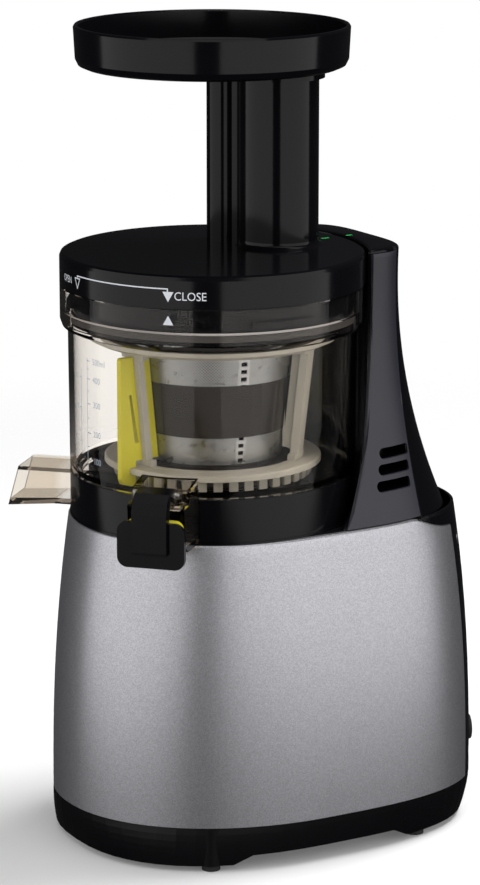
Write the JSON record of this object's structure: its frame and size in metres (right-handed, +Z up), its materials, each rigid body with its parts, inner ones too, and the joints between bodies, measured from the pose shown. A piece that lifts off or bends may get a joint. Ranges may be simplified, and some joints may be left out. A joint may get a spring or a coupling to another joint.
{
  "type": "cold press juicer",
  "caption": "Upright cold press juicer: motor base with rear tower, see-through juicing bowl with brush and strainer, twist lid with feed chute, round hopper tray",
  "frame": {"origin": "centre of the footprint, on the plane the rubber feet stand on", "axes": "+Z up along the bowl axis, front of the juicer at -Y with the rear tower at +Y, +X to the side of the juice spout"},
  "size_m": [0.1615, 0.2126, 0.3997],
  "materials": {
    "silver_paint": "metallic silver flake paint, satin",
    "gloss_black": "polished black",
    "black_plastic": "fine satin black",
    "grey_plastic": "satin dark violet grey",
    "rubber": "matte",
    "cast_aluminium": "as cast",
    "steel": "machined",
    "copper_wire": "enamelled copper wire",
    "white_plastic": "natural acetal",
    "light_plastic": "moulded",
    "bronze": "sintered bronze",
    "board": "coated circuit board",
    "smoky_clear": "smoky brown clear plastic",
    "silicone": "soft grey silicone",
    "yellow_silicone": "soft yellow-green silicone",
    "smoky_frame": "dark smoky plastic",
    "mesh_steel": "perforated sheet",
    "ivory_plastic": "ivory grey, satin"
  },
  "bodies": {
    "motor_base": {"body_shell": "silver_paint", "base_pan": "black_plastic", "rubber_feet": "rubber", "rear_cover": "gloss_black", "tower_housing": "gloss_black", "tower_side_left": "grey_plastic", "tower_side_right": "grey_plastic", "bowl_ring": "gloss_black", "deck_plate": "black_plastic", "gearbox_housing": "cast_aluminium", "gearbox_cover": "cast_aluminium", "motor_stator": "steel", "motor_windings": "copper_wire", "motor_lower_bracket": "cast_aluminium", "motor_upper_bracket": "cast_aluminium", "intermediate_axle": "steel", "shaft_bearings": "bronze", "rotor_bearings": "bronze", "shaft_seal": "rubber", "motor_dampers": "rubber", "control_board": "board", "run_capacitor": "light_plastic", "reed_switch": "light_plastic", "switch_bezel": "gloss_black", "cord_gland": "rubber", "base_screws": "steel", "cover_screws": "steel"},
    "drive": {"drive_shaft": "steel", "output_gear": "steel"},
    "layshaft": {"intermediate_gear": "white_plastic"},
    "motor_shaft": {"motor_rotor": "steel", "cooling_fan": "black_plastic", "motor_pinion": "steel"},
    "power_rocker": {"rocker_switch": "grey_plastic"},
    "bowl": {"juicing_bowl": "smoky_clear", "bowl_seal": "silicone", "pulp_plug": "silicone", "idler_pin": "steel", "cap_hinge_pin": "steel", "strainer_frame": "smoky_frame", "strainer_mesh_upper": "mesh_steel", "strainer_mesh_lower": "mesh_steel"},
    "auger_set": {"auger": "black_plastic", "auger_gear": "white_plastic", "auger_drive_socket": "steel"},
    "idler": {"idler_gear": "white_plastic"},
    "brush": {"brush_frame": "ivory_plastic", "wiper_blades": "yellow_silicone"},
    "cap": {"juice_cap": "black_plastic", "juice_cap_seal": "yellow_silicone"},
    "lid_ring": {"lid_gasket": "silicone"},
    "lid_set": {"lid": "gloss_black", "lid_bush": "white_plastic", "lid_magnet": "steel"},
    "tray": {"hopper_tray": "gloss_black"}
  },
  "joints": [
    {"name": "drive_spin", "type": "hinge", "parent": "motor_base", "child": "drive", "pos_m": [0, -0.02323, 0.14], "axis": [0, 0, 1], "continuous": true},
    {"name": "intermediate_spin", "type": "hinge", "parent": "motor_base", "child": "layshaft", "pos_m": [0.02809, 0.01192, 0.115], "axis": [0, 0, 1], "continuous": true},
    {"name": "motor_spin", "type": "hinge", "parent": "motor_base", "child": "motor_shaft", "pos_m": [0, 0.03677, 0.06], "axis": [0, 0, 1], "continuous": true},
    {"name": "rocker", "type": "hinge", "parent": "motor_base", "child": "power_rocker", "pos_m": [0, 0.09977, 0.118], "axis": [1, 0, 0], "range_deg": [-9, 9]},
    {"name": "bowl_lift", "type": "slide", "parent": "motor_base", "child": "bowl", "axis": [0, 0, 1], "range_m": [0, 0.16]},
    {"name": "auger_spin", "type": "hinge", "parent": "bowl", "child": "auger_set", "pos_m": [0, -0.02323, 0.215], "axis": [0, 0, 1], "continuous": true},
    {"name": "idler_spin", "type": "hinge", "parent": "bowl", "child": "idler", "pos_m": [0.02077, -0.00172, 0.184], "axis": [0, 0, 1], "continuous": true},
    {"name": "brush_spin", "type": "hinge", "parent": "bowl", "child": "brush", "pos_m": [0, -0.02323, 0.22], "axis": [0, 0, 1], "continuous": true},
    {"name": "juice_cap_hinge", "type": "hinge", "parent": "bowl", "child": "cap", "pos_m": [0.06148, -0.08689, 0.1896], "axis": [0.7193, 0.6947, 0], "range_deg": [-100, 0]},
    {"name": "lid_lift", "type": "slide", "parent": "bowl", "child": "lid_ring", "axis": [0, 0, 1], "range_m": [0, 0.06]},
    {"name": "lid_turn", "type": "hinge", "parent": "lid_ring", "child": "lid_set", "pos_m": [0, -0.02323, 0.285], "axis": [0, 0, 1], "range_deg": [0, 44]},
    {"name": "tray_lift", "type": "slide", "parent": "lid_set", "child": "tray", "axis": [0, 0, 1], "range_m": [0, 0.05]}
  ],
  "couplings": [
    {"joint": "intermediate_spin", "follows": "drive_spin", "ratio": -4},
    {"joint": "motor_spin", "follows": "drive_spin", "ratio": 16},
    {"joint": "auger_spin", "follows": "drive_spin", "ratio": 1},
    {"joint": "idler_spin", "follows": "drive_spin", "ratio": -0.85714},
    {"joint": "brush_spin", "follows": "drive_spin", "ratio": -0.3}
  ]
}
